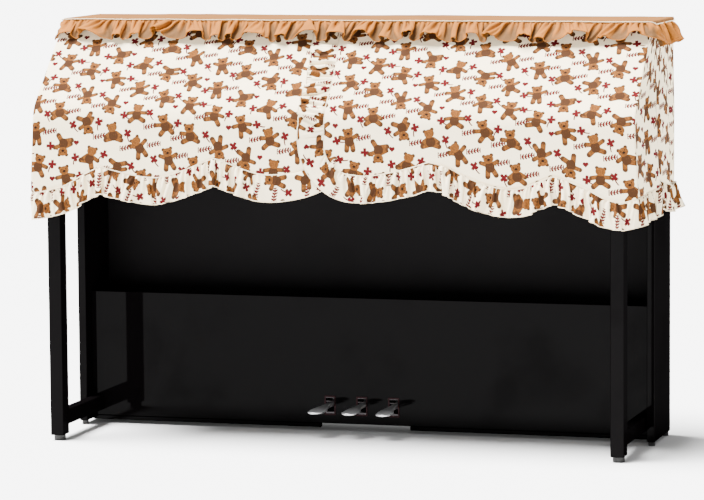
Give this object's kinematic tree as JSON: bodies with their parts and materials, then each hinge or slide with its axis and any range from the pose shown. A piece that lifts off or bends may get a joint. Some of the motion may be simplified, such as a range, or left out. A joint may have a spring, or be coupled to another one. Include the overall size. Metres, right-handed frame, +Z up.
{
  "type": "piano cover on an upright digital piano",
  "caption": "Fitted cloth cover with a gathered top frill, lapped front halves and a scalloped, frilled hem, draped over a slim upright digital piano with foot pedals.",
  "frame": {"origin": "on the floor, under the middle of the piano's width and depth", "axes": "+X to the player's right, +Y to the piano's back, +Z up"},
  "size_m": [1.51, 0.4624, 1.0066],
  "materials": {
    "tan_cotton": "plain woven, matt",
    "edging": "plain woven, matt",
    "printed_cotton": "printed, matt",
    "polished_black": "polished lacquer",
    "back_board": "satin",
    "pedal_chrome": "polished",
    "pedal_steel": "satin",
    "glide_rubber": "matt"
  },
  "bodies": {
    "piano": {"back_board": "back_board", "back_panel": "printed_cotton", "bottom_rail_left": "polished_black", "bottom_rail_right": "polished_black", "foot_bar_left": "polished_black", "foot_bar_right": "polished_black", "front_panel_left": "printed_cotton", "front_panel_right": "printed_cotton", "glide_back_left": "glide_rubber", "glide_back_right": "glide_rubber", "glide_front_left": "glide_rubber", "glide_front_right": "glide_rubber", "glide_middle_left": "glide_rubber", "glide_middle_right": "glide_rubber", "hem_frill_left": "printed_cotton", "hem_frill_right": "printed_cotton", "key_cheek_left": "polished_black", "key_cheek_right": "polished_black", "key_lid": "polished_black", "keybed": "polished_black", "leg_left": "polished_black", "leg_right": "polished_black", "lower_panel": "polished_black", "music_panel": "polished_black", "pedal_guide_left": "pedal_steel", "pedal_guide_middle": "pedal_steel", "pedal_guide_right": "pedal_steel", "pedal_rod": "pedal_steel", "pedal_unit": "pedal_steel", "side_board_left": "polished_black", "side_board_right": "polished_black", "side_panel_left": "printed_cotton", "side_panel_right": "printed_cotton", "top_board": "polished_black", "top_edging": "edging", "top_frill": "tan_cotton", "top_panel": "tan_cotton"},
    "left_pedal": {"pedal_left": "pedal_chrome"},
    "middle_pedal": {"pedal_middle": "pedal_chrome"},
    "right_pedal": {"pedal_right": "pedal_chrome"}
  },
  "joints": [
    {"name": "left_pedal_press", "type": "hinge", "parent": "piano", "child": "left_pedal", "pos_m": [-0.087, 0.128, 0.066], "axis": [1, 0, 0], "range_deg": [0, 6], "stiffness_Nm_per_rad": 4, "springref_deg": -8.59},
    {"name": "middle_pedal_press", "type": "hinge", "parent": "piano", "child": "middle_pedal", "pos_m": [-0.007, 0.128, 0.066], "axis": [1, 0, 0], "range_deg": [0, 6], "stiffness_Nm_per_rad": 4, "springref_deg": -8.59},
    {"name": "right_pedal_press", "type": "hinge", "parent": "piano", "child": "right_pedal", "pos_m": [0.073, 0.128, 0.066], "axis": [1, 0, 0], "range_deg": [0, 6], "stiffness_Nm_per_rad": 4, "springref_deg": -8.59}
  ]
}
